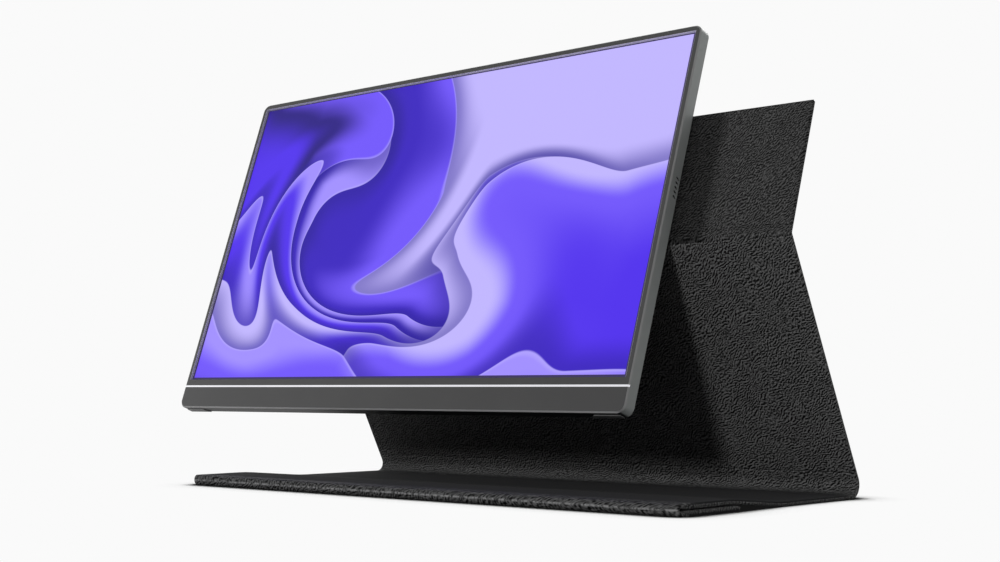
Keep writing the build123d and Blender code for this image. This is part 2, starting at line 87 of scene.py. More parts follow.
# ---- places that come from the frame ----
COVER_LOW, COVER_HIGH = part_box("base_skin")
COVER_X0, COVER_X1 = COVER_LOW.x, COVER_HIGH.x
COVER_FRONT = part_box("front_fold_strip")[0].y
SHELL_LOW, SHELL_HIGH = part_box("rear_shell")
MONITOR_X = (SHELL_LOW.x + SHELL_HIGH.x) / 2
SCREEN_NORMAL = Vector((0, -math.cos(SCREEN_LEAN), math.sin(SCREEN_LEAN)))
SCREEN_UP = Vector((0, math.sin(SCREEN_LEAN), math.cos(SCREEN_LEAN)))


def screen_origin():
    """Middle of the front face's lower edge, worked out from the glass's box."""
    low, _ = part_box("lcd_panel")
    sine, cosine = math.sin(SCREEN_LEAN), math.cos(SCREEN_LEAN)
    y = low.y - LCD_BOTTOM * sine - LCD_FRONT * cosine
    z = low.z - LCD_BOTTOM * cosine + LCD_BACK * sine
    return Vector((MONITOR_X, y, z))


SCREEN_FOOT = screen_origin()


# ---- the cover's side profile: one sheet, from the lip's free edge to the top edge ----


def heading(angle):
    return Vector((math.cos(angle), math.sin(angle)))


def cover_route():
    """Lines and arcs of the sheet's outer face, each with the part it belongs to:
    (part, length, 0) or (part, radius, turn)."""
    fold_r = FOLD_IN_R + PANEL
    raised = PANEL + 2 * FOLD_IN_R
    slope = math.atan2(raised, SLOPE_REAR - SLOPE_FRONT)
    wave_tangent = WAVE_R * math.tan(slope / 2)
    slope_run = math.hypot(SLOPE_REAR - SLOPE_FRONT, raised) - 2 * wave_tangent
    lower_turn = math.pi / 2 + LOWER_LEAN
    crease_turn = LOWER_LEAN + SCREEN_LEAN
    spine_tangent = SPINE_R / math.tan((math.pi - lower_turn) / 2)
    crease_tangent = CREASE_R * math.tan(crease_turn / 2)
    return [
        ("lip", LIP_END - fold_r, 0.0),
        ("front_fold", FOLD_IN_R, -math.pi),
        ("base", SLOPE_FRONT - wave_tangent - fold_r, 0.0),
        ("base", WAVE_R, -slope),
        ("base", slope_run, 0.0),
        ("base", WAVE_R, slope),
        ("base", BASE_D - spine_tangent - SLOPE_REAR - wave_tangent, 0.0),
        ("spine", SPINE_R, lower_turn),
        ("lower", LOWER_L - spine_tangent - crease_tangent, 0.0),
        ("crease", CREASE_R, -crease_turn),
        ("upper", UPPER_L - crease_tangent, 0.0),
    ]


STEP = 2.5 * MM  # along a panel
BEND_STEP = math.radians(6)


def route_stations():
    """Points along the sheet: (length on the middle layer, point on the outer face, heading).
    Also the length at which each named part starts and ends."""
    point, angle, s = Vector((LIP_END, PANEL)), math.pi, 0.0
    stations = [(s, point.copy(), angle)]
    spans = {}
    for name, size, turn in cover_route():
        start = s
        if turn == 0.0:
            marks = {i * STEP for i in range(1, int(size / STEP) + 1)}
            marks |= {LEADER, size - LEADER, size - RIDGE_LEADER, size}
            here = point.copy()
            for d in sorted(m for m in marks if 0 < m <= size + 1e-9):
                stations.append((start + d, here + heading(angle) * d, angle))
            point = here + heading(angle) * size
            s = start + size
        else:
            side = 1 if turn > 0 else -1
            centre = point + heading(angle + side * math.pi / 2) * size
            middle_r = size - side * PANEL / 2
            steps = max(2, round(abs(turn) / BEND_STEP))
            first = angle
            for i in range(1, steps + 1):
                angle = first + turn * i / steps
                point = centre - heading(angle + side * math.pi / 2) * size
                stations.append((start + middle_r * abs(turn) * i / steps, point.copy(), angle))
            s = start + middle_r * abs(turn)
        old = spans.get(name, (start, start))
        spans[name] = (old[0], s)
    return stations, spans


STATIONS, SPANS = route_stations()
CUTS = {
    "lip": (0.0, SPANS["lip"][1] - LEADER),
    "front_fold": (SPANS["front_fold"][0] - LEADER, SPANS["front_fold"][1] + LEADER),
    "base": (SPANS["base"][0] + LEADER, SPANS["base"][1] - LEADER),
    "spine": (SPANS["spine"][0] - LEADER, SPANS["spine"][1] + LEADER),
    "lower": (SPANS["lower"][0] + LEADER, SPANS["lower"][1] - RIDGE_LEADER),
    "crease": (SPANS["crease"][0] - RIDGE_LEADER, SPANS["crease"][1] + LEADER),
    "upper": (SPANS["upper"][0] + LEADER, SPANS["upper"][1]),
}


def rows_of(start, end):
    """The stations between two lengths, both ends included."""
    rows = []
    for station in STATIONS:
        if start - 1e-7 <= station[0] <= end + 1e-7:
            if not rows or station[0] - rows[-1][0] > 1e-7:
                rows.append(station)
    return rows


def place(station, x, h):
    """Point at x across the sheet, h above its outer face at that station."""
    _, point, angle = station
    p = point + heading(angle + math.pi / 2) * h
    return Vector((x, COVER_FRONT + p.x, p.y))


# ---- mesh helpers ----


def new_object(name, bm, smooth=True):
    mesh = bpy.data.meshes.new(name)
    bm.normal_update()
    bm.to_mesh(mesh)
    bm.free()
    for polygon in mesh.polygons:
        polygon.use_smooth = smooth
    obj = bpy.data.objects.new(name, mesh)
    bpy.context.scene.collection.objects.link(obj)
    return obj


def sheet_layer(bm):
    """Each point's place on the unrolled sheet: across, along and through it. The grain follows
    that, so it runs on from piece to piece and stays put when a fold moves."""
    return bm.verts.layers.float_vector.get("sheet") or bm.verts.layers.float_vector.new("sheet")


def arc_points(cx, cz, r, a0, a1, steps=4):
    """Points of an arc in a cross-section, angles in degrees."""
    angles = [math.radians(a0 + (a1 - a0) * i / steps) for i in range(steps + 1)]
    return [(cx + r * math.cos(a), cz + r * math.sin(a)) for a in angles]


def line_points(x0, x1, h, steps):
    return [(x0 + (x1 - x0) * i / steps, h) for i in range(1, steps)]


ACROSS = 2.5 * MM


def across_steps(width):
    return max(2, round(width / ACROSS))


def full_section(x0, x1):
    """Cross-section of a fold strip: the whole thickness, with round edges."""
    n = across_steps(x1 - x0)
    loop = line_points(x0 + EDGE_R, x1 - EDGE_R, 0, n)
    loop += arc_points(x1 - EDGE_R, EDGE_R, EDGE_R, -90, 0)
    loop += arc_points(x1 - BRIM_R, PANEL - BRIM_R, BRIM_R, 0, 90)
    loop += line_points(x1 - BRIM_R, x0 + BRIM_R, PANEL, n)
    loop += arc_points(x0 + BRIM_R, PANEL - BRIM_R, BRIM_R, 90, 180)
    loop += arc_points(x0 + EDGE_R, EDGE_R, EDGE_R, 180, 270)
    return loop


def tray_section(x0, x1):
    """Cross-section of an outer skin: flat, with its sides turned up round the board as far as
    the inner facing."""
    n = across_steps(x1 - x0)
    inner0, inner1, top = x0 + HEM, x1 - HEM, PANEL - FACING
    loop = line_points(x0 + EDGE_R, x1 - EDGE_R, 0, n)
    loop += arc_points(x1 - EDGE_R, EDGE_R, EDGE_R, -90, 0)
    loop += [(x1, top - SEAM_GAP), (x1 - SEAM_GAP, top), (inner1, top), (inner1, SKIN)]
    loop += line_points(inner1, inner0, SKIN, n)
    loop += [(inner0, SKIN), (inner0, top), (x0 + SEAM_GAP, top), (x0, top - SEAM_GAP)]
    loop += arc_points(x0 + EDGE_R, EDGE_R, EDGE_R, 180, 270)
    return loop


def facing_section(x0, x1, low):
    """Cross-section of an inner facing: thin, with soft upper edges."""
    n = across_steps(x1 - x0)
    loop = [(x0 + SEAM_GAP, low)] + line_points(x0 + SEAM_GAP, x1 - SEAM_GAP, low, n)
    loop += [(x1 - SEAM_GAP, low), (x1, low + SEAM_GAP)]
    loop += arc_points(x1 - BRIM_R, PANEL - BRIM_R, BRIM_R, 0, 90)
    loop += line_points(x1 - BRIM_R, x0 + BRIM_R, PANEL, n)
    loop += arc_points(x0 + BRIM_R, PANEL - BRIM_R, BRIM_R, 90, 180)
    loop += [(x0, low + SEAM_GAP)]
    return loop


def swept(bm, loop, rows, shape=None):
    """Sweep a closed cross-section along the sheet's rows and close both ends. shape(x, s, h)
    may move a point before it is placed."""
    layer = sheet_layer(bm)
    rings = []
    for row in rows:
        ring = []
        for x, h in loop:
            moved_x, moved_h = shape(x, row[0], h) if shape else (x, h)
            vert = bm.verts.new(place(row, moved_x, moved_h))
            vert[layer] = (x, row[0], h)
            ring.append(vert)
        rings.append(ring)
    count = len(loop)
    for a, b in zip(rings, rings[1:]):
        for i in range(count):
            j = (i + 1) % count
            bm.faces.new((a[i], a[j], b[j], b[i]))
    bm.faces.new(rings[0][::-1])
    bm.faces.new(rings[-1])
    return rings


def ease(t):
    """Smooth step from 0 to 1."""
    t = min(1.0, max(0.0, t))
    return t * t * (3 - 2 * t)


FOLD_START, FOLD_END = SPANS["front_fold"]


def puff(s):
    """How far the sheet's outer side swells at this length: on the lip and on the base over it."""
    if s < FOLD_START:
        return PUFF * ease((FOLD_START - s) / LEADER) * ease(s / (6 * MM))
    return PUFF * ease((s - FOLD_END) / LEADER) * (1 - ease((s - FOLD_END - 25 * MM) / (15 * MM)))


def round_tip(x, s, h):
    """Draw the left end in, more the further a point is from the folded pair's middle."""
    off_middle = min(FOLD_IN_R + h, TIP_R)
    inset = TIP_R - math.sqrt(TIP_R**2 - off_middle**2)
    if s > FOLD_END:
        inset *= 1 - ease((s - FOLD_END) / TIP_L)
    nearness = ease(1 - (x - COVER_X0) / (12 * MM))
    return x + inset * nearness


def soft_height(x, s, amount):
    """Slight unevenness of leather over a board."""
    coarse = noise.noise(Vector((x * 22, s * 22, 3.1)))
    fine = noise.noise(Vector((x * 70, s * 70, 8.7)))
    return amount * (0.7 * coarse + 0.3 * fine)


def closed_mesh(bm):
    bmesh.ops.remove_doubles(bm, verts=bm.verts, dist=1e-7)
    bmesh.ops.recalc_face_normals(bm, faces=bm.faces)


# ---- cover pieces ----


def end_hem(bm, x0, x1, free_end, inward, depth, low, high, brim):
    """Leather turned across a free end: a block with round edges, from the free end to depth."""
    steps = 7
    layer = sheet_layer(bm)
    straight = min(STATIONS, key=lambda st: abs(st[0] - free_end))
    n = across_steps(x1 - x0)
    loop = [(x0, low), *line_points(x0, x1, low, n), (x1, low), (x1, (low + high) / 2)]
    loop += [(x1, high), *line_points(x1, x0, high, n), (x0, high), (x0, (low + high) / 2)]

    def rounded(x, d, h):
        r = min(brim, (high - low) / 2)
        qx = min(max(x, x0 + r), x1 - r)
        qd = max(d, r)
        qh = min(max(h, low + r), high - r)
        v = Vector((x - qx, d - qd, h - qh))
        if v.length > r:
            v = v.normalized() * r
        return qx + v.x, qd + v.y, qh + v.z

    rings = []
    for i in range(steps + 1):
        ring = []
        for x, h in loop:
            px, pd, ph = rounded(x, depth * i / steps, h)
            s = free_end + pd * inward
            point = straight[1] + heading(straight[2]) * (s - straight[0])
            vert = bm.verts.new(place((s, point, straight[2]), px, ph))
            vert[layer] = (px, s, ph)
            ring.append(vert)
        rings.append(ring)
    count = len(loop)
    for a, b in zip(rings, rings[1:]):
        for i in range(count):
            j = (i + 1) % count
            bm.faces.new((a[i], a[j], b[j], b[i]))
    bm.faces.new(rings[0][::-1])
    bm.faces.new(rings[-1])


def outer_skin(name, part, free=None):
    """A panel's outer leather, turned up round its sides and, at a free end, across it."""
    start, end = CUTS[part]
    bm = bmesh.new()
    loop = tray_section(COVER_X0, COVER_X1)
    top = PANEL - FACING
    if free == "start":
        rows = clipped_rows(start + HEM, end)
        end_hem(bm, COVER_X0, COVER_X1, start, 1, HEM, 0.0, top, EDGE_R)
    elif free == "end":
        rows = clipped_rows(start, end - HEM)
        end_hem(bm, COVER_X0, COVER_X1, end, -1, HEM, 0.0, top, EDGE_R)
    else:
        rows = clipped_rows(start, end)

    def shape(x, s, h):
        if part in ("lip", "base"):
            x = round_tip(x, s, h)
        if h < SKIN / 2:
            h -= puff(s)
            if part in ("lower", "upper") and COVER_X0 + EDGE_R < x < COVER_X1 - EDGE_R:
                h += abs(soft_height(x, s, 0.06 * MM))
        return x, h

    swept(bm, loop, rows, shape)
    closed_mesh(bm)
    return new_object(name, bm)


def clipped_rows(start, end):
    """Rows between two lengths, with a row at each exact end."""
    rows = rows_of(start, end)
    for s, index in ((start, 0), (end, len(rows))):
        if not any(abs(r[0] - s) < 1e-7 for r in rows):
            near = min(STATIONS, key=lambda st: abs(st[0] - s))
            point = near[1] + heading(near[2]) * (s - near[0])
            rows.insert(index, (s, point, near[2]))
    return rows


def inner_facing(name, part, amount, free=None):
    """A panel's inner leather or lining, over the whole panel."""
    start, end = CUTS[part]
    low = PANEL - FACING
    x0, x1 = COVER_X0, COVER_X1
    first = start + (BRIM_R if free == "start" else 0)
    last = end - (BRIM_R if free == "end" else 0)
    rows = clipped_rows(first, last)

    def shape(x, s, h):
        if h > PANEL - BRIM_R / 4:
            inset = min(x - x0, x1 - x, s - start, end - s)
            h += soft_height(x, s, amount) * ease(inset / (5 * MM))
        if part in ("lip", "base"):
            x = round_tip(x, s, h)
        return x, h

    bm = bmesh.new()
    swept(bm, facing_section(x0, x1, low), rows, shape)
    if free:
        free_end, inward = (start, 1) if free == "start" else (end, -1)
        end_hem(bm, x0, x1, free_end, inward, BRIM_R, low, PANEL, BRIM_R)
    closed_mesh(bm)
    return new_object(name, bm)


COVER_MIDDLE = (COVER_X0 + COVER_X1) / 2
COVER_HALF = (COVER_X1 - COVER_X0) / 2


def fold_strip(name, part):
    """Leather that bends between two panels. The front strip's ends are rounded, seen from above."""
    bm = bmesh.new()
    rows = rows_of(*CUTS[part])

    def shape(x, s, h):
        if part != "front_fold":
            return x, h
        row = next(r for r in rows if r[0] == s)
        ahead = place(row, x, h).y - COVER_FRONT
        drop = max(0.0, COVER_CORNER_R - ahead)
        inset = COVER_CORNER_R - math.sqrt(max(0.0, COVER_CORNER_R**2 - drop**2))
        x = round_tip(COVER_MIDDLE + (x - COVER_MIDDLE) * (1 - inset / COVER_HALF), s, h)
        if h < SKIN / 2:
            h -= puff(s)
        return x, h

    swept(bm, full_section(COVER_X0, COVER_X1), rows, shape)
    closed_mesh(bm)
    return new_object(name, bm)


def bend_between(obj):
    """Bake the strip's placement into its mesh."""
    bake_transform(obj)


# ---- material helpers ----


def add(tree, kind, inputs=None, **settings):
    """A new node. inputs maps a socket's name or number to a value or to another socket."""
    node = tree.nodes.new(kind)
    for key, value in settings.items():
        setattr(node, key, value)
    for key, value in (inputs or {}).items():
        socket = node.inputs[key]
        if isinstance(value, bpy.types.NodeSocket):
            tree.links.new(value, socket)
        else:
            socket.default_value = value
    return node


def math_node(tree, operation, a, b=0.0, c=0.0, clamp=False):
    inputs = {0: a, 1: b}
    if operation in ("MULTIPLY_ADD", "SMOOTH_MIN", "SMOOTH_MAX", "COMPARE"):
        inputs[2] = c
    return add(tree, "ShaderNodeMath", inputs, operation=operation, use_clamp=clamp).outputs[0]


def map_range(tree, value, low, high, to_low=0.0, to_high=1.0, smooth=True):
    kind = "SMOOTHSTEP" if smooth else "LINEAR"
    inputs = {"Value": value, "From Min": low, "From Max": high, "To Min": to_low, "To Max": to_high}
    return add(tree, "ShaderNodeMapRange", inputs, interpolation_type=kind, clamp=True).outputs[0]


def mix_colour(tree, factor, a, b):
    node = add(tree, "ShaderNodeMix", {"Factor": factor}, data_type="RGBA")
    for socket, value in ((node.inputs[6], a), (node.inputs[7], b)):
        if isinstance(value, bpy.types.NodeSocket):
            tree.links.new(value, socket)
        else:
            socket.default_value = value
    return node.outputs[2]


def srgb(r, g, b):
    """A colour given as 0-255 screen values."""

    def linear(c):
        c /= 255
        return c / 12.92 if c <= 0.04045 else ((c + 0.055) / 1.055) ** 2.4

    return (linear(r), linear(g), linear(b), 1.0)


def new_material(name):
    material = bpy.data.materials.new(name)
    material.use_nodes = True
    tree = material.node_tree
    tree.nodes.clear()
    output = tree.nodes.new("ShaderNodeOutputMaterial")
    shader = tree.nodes.new("ShaderNodeBsdfPrincipled")
    tree.links.new(shader.outputs[0], output.inputs["Surface"])
    return material, tree, shader


def new_group(name, inputs, outputs):
    """A shader node group with named float or vector sockets. Returns (tree, in, out)."""
    tree = bpy.data.node_groups.new(name, "ShaderNodeTree")
    for label, kind, default in inputs:
        socket = tree.interface.new_socket(name=label, in_out="INPUT", socket_type=kind)
        if default is not None:
            socket.default_value = default
    for label, kind in outputs:
        tree.interface.new_socket(name=label, in_out="OUTPUT", socket_type=kind)
    source = tree.nodes.new("NodeGroupInput")
    sink = tree.nodes.new("NodeGroupOutput")
    return tree, source.outputs, sink.inputs


def use_group(tree, group, inputs):
    node = tree.nodes.new("ShaderNodeGroup")
    node.node_tree = group
    for key, value in inputs.items():
        if isinstance(value, bpy.types.NodeSocket):
            tree.links.new(value, node.inputs[key])
        else:
            node.inputs[key].default_value = value
    return node.outputs


def bump(tree, height, distance, strength=1.0):
    inputs = {"Height": height, "Distance": distance, "Strength": strength}
    return add(tree, "ShaderNodeBump", inputs).outputs["Normal"]


# ---- leather ----

FLOAT, VECTOR, COLOUR = "NodeSocketFloat", "NodeSocketVector", "NodeSocketColor"


def shifted(tree, vector, scale, amount):
    """The vector, moved about by a slow noise of that scale by up to that amount."""
    wander = add(tree, "ShaderNodeTexNoise", {"Vector": vector, "Scale": scale, "Detail": 1.0})
    push = add(
        tree,
        "ShaderNodeVectorMath",
        {0: wander.outputs["Color"], 1: (0.5, 0.5, 0.5)},
        operation="SUBTRACT",
    )
    push = add(tree, "ShaderNodeVectorMath", {0: push.outputs[0], "Scale": amount}, operation="SCALE")
    return add(tree, "ShaderNodeVectorMath", {0: vector, 1: push.outputs[0]}, operation="ADD").outputs[0]


def pebble_grain_group():
    """Pebbled leather: short rounded ridges, mostly along a slant, with dark pits between them.
    Level is 1 on a ridge and 0 in a pit, and comes closer to 0.5 where the grain is shallow."""
    inputs = [("Vector", VECTOR, None), ("Grains per metre", FLOAT, 500.0), ("Unevenness", FLOAT, 0.5)]
    tree, source, sink = new_group("PebbleGrain", inputs, [("Level", FLOAT)])
    through = add(tree, "ShaderNodeSeparateXYZ", {0: source["Vector"]}).outputs[2]
    aside = add(tree, "ShaderNodeCombineXYZ", {0: through, 1: through}).outputs[0]
    spread = add(tree, "ShaderNodeVectorMath", {0: source["Vector"], 1: aside}, operation="ADD").outputs[0]
    flow = shifted(tree, spread, 55.0, GRAIN_DRIFT)
    kernels = math_node(tree, "DIVIDE", source["Grains per metre"], GRAIN_WAVES)
    bands = add(
        tree,
        "ShaderNodeTexGabor",
        {
            "Vector": flow,
            "Scale": kernels,
            "Frequency": GRAIN_WAVES,
            "Anisotropy": GRAIN_ORDER,
            "Orientation": GRAIN_SLANT,
        },
        gabor_type="2D",
    ).outputs["Value"]
    patch = add(tree, "ShaderNodeTexNoise", {"Vector": source["Vector"], "Scale": 90.0, "Detail": 1.0})
    patch = map_range(tree, patch.outputs["Fac"], 0.35, 0.65)
    weight = math_node(tree, "MULTIPLY", patch, source["Unevenness"])
    weight = math_node(tree, "SUBTRACT", GRAIN_GAIN, weight)
    level = math_node(tree, "SUBTRACT", bands, 0.5)
    level = math_node(tree, "MULTIPLY_ADD", level, weight, GRAIN_MEAN)
    finer = math_node(tree, "MULTIPLY", source["Grains per metre"], 1.5)
    breaks = add(tree, "ShaderNodeTexNoise", {"Vector": flow, "Scale": finer, "Detail": 0.0}).outputs["Fac"]
    breaks = map_range(tree, breaks, 0.3, 0.7, -GRAIN_BREAKS, GRAIN_BREAKS, smooth=False)
    level = math_node(tree, "ADD", level, breaks, clamp=True)
    tree.links.new(level, sink["Level"])
    return tree


GRAIN_SLANT = math.radians(33 - 90)
GRAIN_DRIFT = 7 * MM
GRAIN_WAVES = 1.5
GRAIN_ORDER = 0.65
GRAIN_GAIN = 4.8
GRAIN_MEAN = 0.48
GRAIN_BREAKS = 0.35
PEBBLE_GRAIN = pebble_grain_group()
SMOOTH_FROM = FOLD_END + 2 * MM  # the lining's smooth part, along the sheet
SMOOTH_TO = SPANS["spine"][0]
GRAIN_FADE = 9 * MM


def smooth_part_group():
    """Mask of the smooth lining: the sheet's inner side, between the fold strips' grained ends."""
    tree, source, sink = new_group("SmoothPart", [("Sheet", VECTOR, None)], [("Mask", FLOAT)])
    ragged = shifted(tree, source["Sheet"], 240.0, 7 * MM)
    along = add(tree, "ShaderNodeSeparateXYZ", {0: ragged}).outputs[1]
    through = add(tree, "ShaderNodeSeparateXYZ", {0: source["Sheet"]}).outputs[2]
    after_front = map_range(tree, along, SMOOTH_FROM, SMOOTH_FROM + GRAIN_FADE)
    before_spine = map_range(tree, along, SMOOTH_TO - GRAIN_FADE, SMOOTH_TO, 1.0, 0.0)
    lip_side = map_range(tree, along, FOLD_START - LEADER, FOLD_START - LEADER - MM, 0.0, 1.0)
    inner = map_range(tree, through, 0.5 * PANEL, 0.8 * PANEL)
    base_side = math_node(tree, "MULTIPLY", after_front, before_spine)
    either = math_node(tree, "MAXIMUM", base_side, lip_side)
    tree.links.new(math_node(tree, "MULTIPLY", either, inner), sink["Mask"])
    return tree


SMOOTH_PART = smooth_part_group()


def cover_leather():
    """Black pebbled leather that turns into a smooth lining on the base's upper side, with a painted highlight along
    the front fold's ridge.
    """
    material, tree, shader = new_material("cover_leather")
    sheet = add(tree, "ShaderNodeAttribute", attribute_name="sheet").outputs["Vector"]
    grain = use_group(tree, PEBBLE_GRAIN, {"Vector": sheet, "Grains per metre": 680.0, "Unevenness": 2.4})
    smooth = use_group(tree, SMOOTH_PART, {"Sheet": sheet})["Mask"]
    grained = math_node(tree, "SUBTRACT", 1.0, smooth)
    pebbles = mix_colour(tree, grain["Level"], srgb(1, 1, 1), srgb(76, 76, 76))
    colour = mix_colour(tree, smooth, pebbles, srgb(25, 25, 26))
    middle = (FOLD_START + FOLD_END) / 2
    along = add(tree, "ShaderNodeSeparateXYZ", {0: sheet}).outputs[1]
    off_ridge = math_node(tree, "ABSOLUTE", math_node(tree, "SUBTRACT", along, middle))
    # Painted highlight: a light line along the front fold's ridge, broken up by specks.
    painted_ridge_highlight = map_range(tree, off_ridge, 0.05 * MM, 0.5 * MM, 0.85, 0.0)
    specks = add(tree, "ShaderNodeTexNoise", {"Vector": sheet, "Scale": 750.0, "Detail": 1.0}).outputs["Fac"]
    painted_ridge_highlight = math_node(tree, "MULTIPLY", painted_ridge_highlight, map_range(tree, specks, 0.42, 0.58, 0.15, 1.0))
    # The painted highlight's colour.
    colour = mix_colour(tree, painted_ridge_highlight, colour, srgb(116, 116, 116))
    tree.links.new(colour, shader.inputs["Base Color"])
    rough = map_range(tree, grain["Level"], 0.0, 1.0, 0.7, 0.5, smooth=False)
    rough = math_node(tree, "MULTIPLY_ADD", smooth, 0.35, rough)
    tree.links.new(rough, shader.inputs["Roughness"])
    height = math_node(tree, "MULTIPLY", grain["Level"], grained)
    fine = add(tree, "ShaderNodeTexNoise", {"Vector": sheet, "Scale": 2600.0, "Detail": 2.0}).outputs["Fac"]
    height = math_node(tree, "MULTIPLY_ADD", fine, 0.05, height)
    tree.links.new(bump(tree, height, 0.3 * MM), shader.inputs["Normal"])
    shader.inputs["Specular IOR Level"].default_value = 0.06
    return material


# ---- metal, glass and plastic ----


def blasted_metal_group():
    """Fine bead-blasted finish: a dense grain of height and a faint change of tone."""
    tree, source, sink = new_group(
        "BlastedMetal", [("Vector", VECTOR, None), ("Grain per metre", FLOAT, 9000.0)], [("Height", FLOAT), ("Tone", FLOAT)]
    )
    inputs = {"Vector": source["Vector"], "Scale": source["Grain per metre"], "Detail": 2.0}
    fine = add(tree, "ShaderNodeTexNoise", inputs).outputs["Fac"]
    broad = add(tree, "ShaderNodeTexNoise", {"Vector": source["Vector"], "Scale": 25.0, "Detail": 3.0}).outputs["Fac"]
    tree.links.new(fine, sink["Height"])
    tree.links.new(map_range(tree, broad, 0.3, 0.7), sink["Tone"])
    return tree


BLASTED_METAL = blasted_metal_group()


def front_faces_group():
    """Masks by the way a face looks, in the screen's own directions: the flat front; the narrow chamfer between it
    and the sides, for a painted highlight that is brightest at the right and below; and the underside, for painted
    shade."""
    outputs = [("Front", FLOAT), ("PaintedEdgeHighlight", FLOAT), ("PaintedUnderShade", FLOAT)]
    tree, source, sink = new_group("FrontFaces", [("Normal", VECTOR, None)], outputs)
    inputs = {0: source["Normal"], 1: SCREEN_NORMAL}
    facing = add(tree, "ShaderNodeVectorMath", inputs, operation="DOT_PRODUCT").outputs["Value"]
    inputs = {0: source["Normal"], 1: Vector((0.8, 0, 0)) - SCREEN_UP * 0.6}
    lower_right = add(tree, "ShaderNodeVectorMath", inputs, operation="DOT_PRODUCT").outputs["Value"]
    below_front = map_range(tree, facing, 0.90, 0.97, 1.0, 0.0)
    above_side = map_range(tree, facing, 0.2, 0.4, 0.0, 1.0)
    painted_edge_light = math_node(tree, "MULTIPLY", below_front, above_side)
    # Painted highlight: the chamfer's light tone is weighted towards the lower right, where light falls on it.
    painted_edge_light = math_node(tree, "MULTIPLY", painted_edge_light, map_range(tree, lower_right, 0.1, 0.4))
    # Painted shade: the underside is masked so that it can be painted nearly black.
    inputs = {0: source["Normal"], 1: -SCREEN_UP}
    down = add(tree, "ShaderNodeVectorMath", inputs, operation="DOT_PRODUCT").outputs["Value"]
    tree.links.new(map_range(tree, down, 0.8, 0.97), sink["PaintedUnderShade"])
    tree.links.new(map_range(tree, facing, 0.90, 0.97), sink["Front"])
    tree.links.new(painted_edge_light, sink["PaintedEdgeHighlight"])
    return tree


FRONT_FACES = front_faces_group()

# The shell's lighter tone stands partly for light falling on the sides from the right: painted light.
SHELL_TONES = (srgb(125, 128, 127), srgb(130, 133, 132))
FRONT_TONES = (srgb(65, 65, 65), srgb(68, 68, 68))


def satin_metal(name, tones, metallic, roughness, grain=9000.0, depth=0.012 * MM):
    """Blasted metal."""
    material, tree, shader = new_material(name)
    coords = add(tree, "ShaderNodeTexCoord").outputs
    blast = use_group(tree, BLASTED_METAL, {"Vector": coords["Object"], "Grain per metre": grain})
    tree.links.new(mix_colour(tree, blast["Tone"], *tones), shader.inputs["Base Color"])
    shader.inputs["Roughness"].default_value = roughness
    shader.inputs["Metallic"].default_value = metallic
    tree.links.new(bump(tree, blast["Height"], depth), shader.inputs["Normal"])
    return material


def case_metal():
    """The monitor's case: dark satin front, a chamfer edge painted lighter as a painted highlight, grey sides and
    back whose lighter tone on the sides is partly painted light from the right, and an underside painted nearly black
    as painted shade."""
    material, tree, shader = new_material("case_metal")
    coords = add(tree, "ShaderNodeTexCoord").outputs
    blast = use_group(tree, BLASTED_METAL, {"Vector": coords["Object"], "Grain per metre": 9000.0})
    faces = use_group(tree, FRONT_FACES, {"Normal": coords["Normal"]})
    front = mix_colour(tree, blast["Tone"], *FRONT_TONES)
    side = mix_colour(tree, blast["Tone"], *SHELL_TONES)
    colour = mix_colour(tree, faces["Front"], side, front)
    # Painted highlight on the chamfer edge, strongest at the lower right.
    colour = mix_colour(tree, faces["PaintedEdgeHighlight"], colour, srgb(140, 140, 140))
    # Painted shade: the underside painted nearly black.
    colour = mix_colour(tree, faces["PaintedUnderShade"], colour, srgb(20, 21, 22))
    tree.links.new(colour, shader.inputs["Base Color"])
    metallic = map_range(tree, faces["Front"], 0.0, 1.0, 0.05, 0.0, smooth=False)
    tree.links.new(metallic, shader.inputs["Metallic"])
    rough = map_range(tree, faces["Front"], 0.0, 1.0, 0.45, 0.7, smooth=False)
    tree.links.new(rough, shader.inputs["Roughness"])
    tree.links.new(bump(tree, blast["Height"], 0.012 * MM), shader.inputs["Normal"])
    shader.inputs["Specular IOR Level"].default_value = 0.14
    return material


def moulded_plastic(name, dark, light, roughness, metallic=0.0, grain=3000.0, depth=0.00002):
    """Fine-textured plastic, board or foil."""
    material, tree, shader = new_material(name)
    coords = add(tree, "ShaderNodeTexCoord").outputs
    grain = use_group(tree, BLASTED_METAL, {"Vector": coords["Object"], "Grain per metre": grain})
    tree.links.new(mix_colour(tree, grain["Tone"], dark, light), shader.inputs["Base Color"])
    tree.links.new(bump(tree, grain["Height"], depth), shader.inputs["Normal"])
    shader.inputs["Roughness"].default_value = roughness
    shader.inputs["Metallic"].default_value = metallic
    return material


# ---- picture on the screen: folds of violet light ----


